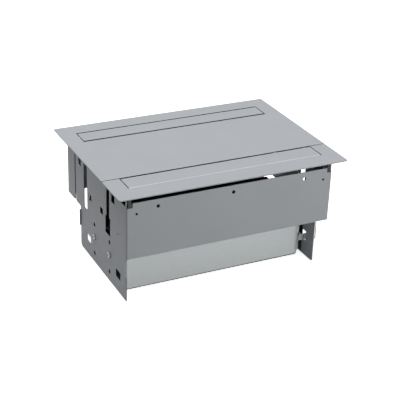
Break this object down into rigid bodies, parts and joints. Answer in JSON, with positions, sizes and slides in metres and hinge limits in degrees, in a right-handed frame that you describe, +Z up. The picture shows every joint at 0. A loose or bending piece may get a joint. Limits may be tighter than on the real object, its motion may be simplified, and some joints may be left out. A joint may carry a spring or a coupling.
{
  "type": "desktop socket block",
  "caption": "Sheet metal socket box that hangs in a desk cut-out, with a long hinged cable flap along each side of its top and a lift-off cover over the socket modules.",
  "frame": {"origin": "bottom centre of the bounding box: midway along and across the top plates, in the plane of the feet", "axes": "+X along the block, to the right seen from the front; +Y to the rear; +Z up"},
  "size_m": [0.33, 0.244, 0.154],
  "materials": {
    "coated_steel": "matt silver grey coating",
    "zinc_coated_steel": "dull zinc coating",
    "bright_steel": "bright zinc plate",
    "module_plastic": "fine matt",
    "gland_plastic": "fine matt",
    "rubber": "smooth",
    "brass": "turned"
  },
  "bodies": {
    "box": {"front_shell": "coated_steel", "rear_shell": "coated_steel", "front_cover_plate": "coated_steel", "front_hinge_rod": "bright_steel", "front_hinge_bracket_left": "coated_steel", "front_hinge_bracket_right": "coated_steel", "front_flap_bumpers": "rubber", "front_left_bracket": "coated_steel", "front_right_bracket": "coated_steel", "rear_rest_left": "coated_steel", "rear_rest_right": "coated_steel", "side_rest_left": "coated_steel", "side_rest_right": "coated_steel", "left_splice_strip": "zinc_coated_steel", "right_splice_strip": "zinc_coated_steel", "inner_end_plate": "coated_steel", "end_plate_hanger": "coated_steel", "tray_front_panel": "zinc_coated_steel", "tray_rear_panel": "zinc_coated_steel", "tray_end_cap": "zinc_coated_steel", "tray_floor": "zinc_coated_steel", "module_frame": "zinc_coated_steel", "terminal_bracket": "zinc_coated_steel", "terminal_block": "module_plastic", "earth_stud": "brass", "mains_gland": "gland_plastic", "mains_gland_locknut": "gland_plastic", "data_grommet": "rubber", "side_screws": "bright_steel", "tab_screws": "bright_steel", "mains_socket_1": "module_plastic", "mains_socket_2": "module_plastic", "mains_socket_3": "module_plastic", "mains_socket_4": "module_plastic", "mains_socket_5": "module_plastic", "mains_socket_6": "module_plastic", "charger_module_1": "module_plastic", "data_module_1": "module_plastic", "charger_module_2": "module_plastic", "data_module_2": "module_plastic"},
    "front_flap": {"front_flap": "coated_steel"},
    "cover": {"rear_cover_plate": "coated_steel", "rear_hinge_rod": "bright_steel", "rear_hinge_bracket_left": "coated_steel", "rear_hinge_bracket_right": "coated_steel", "rear_flap_bumpers": "rubber", "cover_locators": "coated_steel"},
    "rear_flap": {"rear_flap": "coated_steel"}
  },
  "joints": [
    {"name": "front_flap_hinge", "type": "hinge", "parent": "box", "child": "front_flap", "pos_m": [0, -0.0907, 0.1515], "axis": [1, 0, 0], "range_deg": [0, 95]},
    {"name": "cover_lift", "type": "slide", "parent": "box", "child": "cover", "axis": [0, 0, 1], "range_m": [0, 0.06]},
    {"name": "rear_flap_hinge", "type": "hinge", "parent": "cover", "child": "rear_flap", "pos_m": [0, 0.0934, 0.1515], "axis": [-1, 0, 0], "range_deg": [0, 95]}
  ]
}
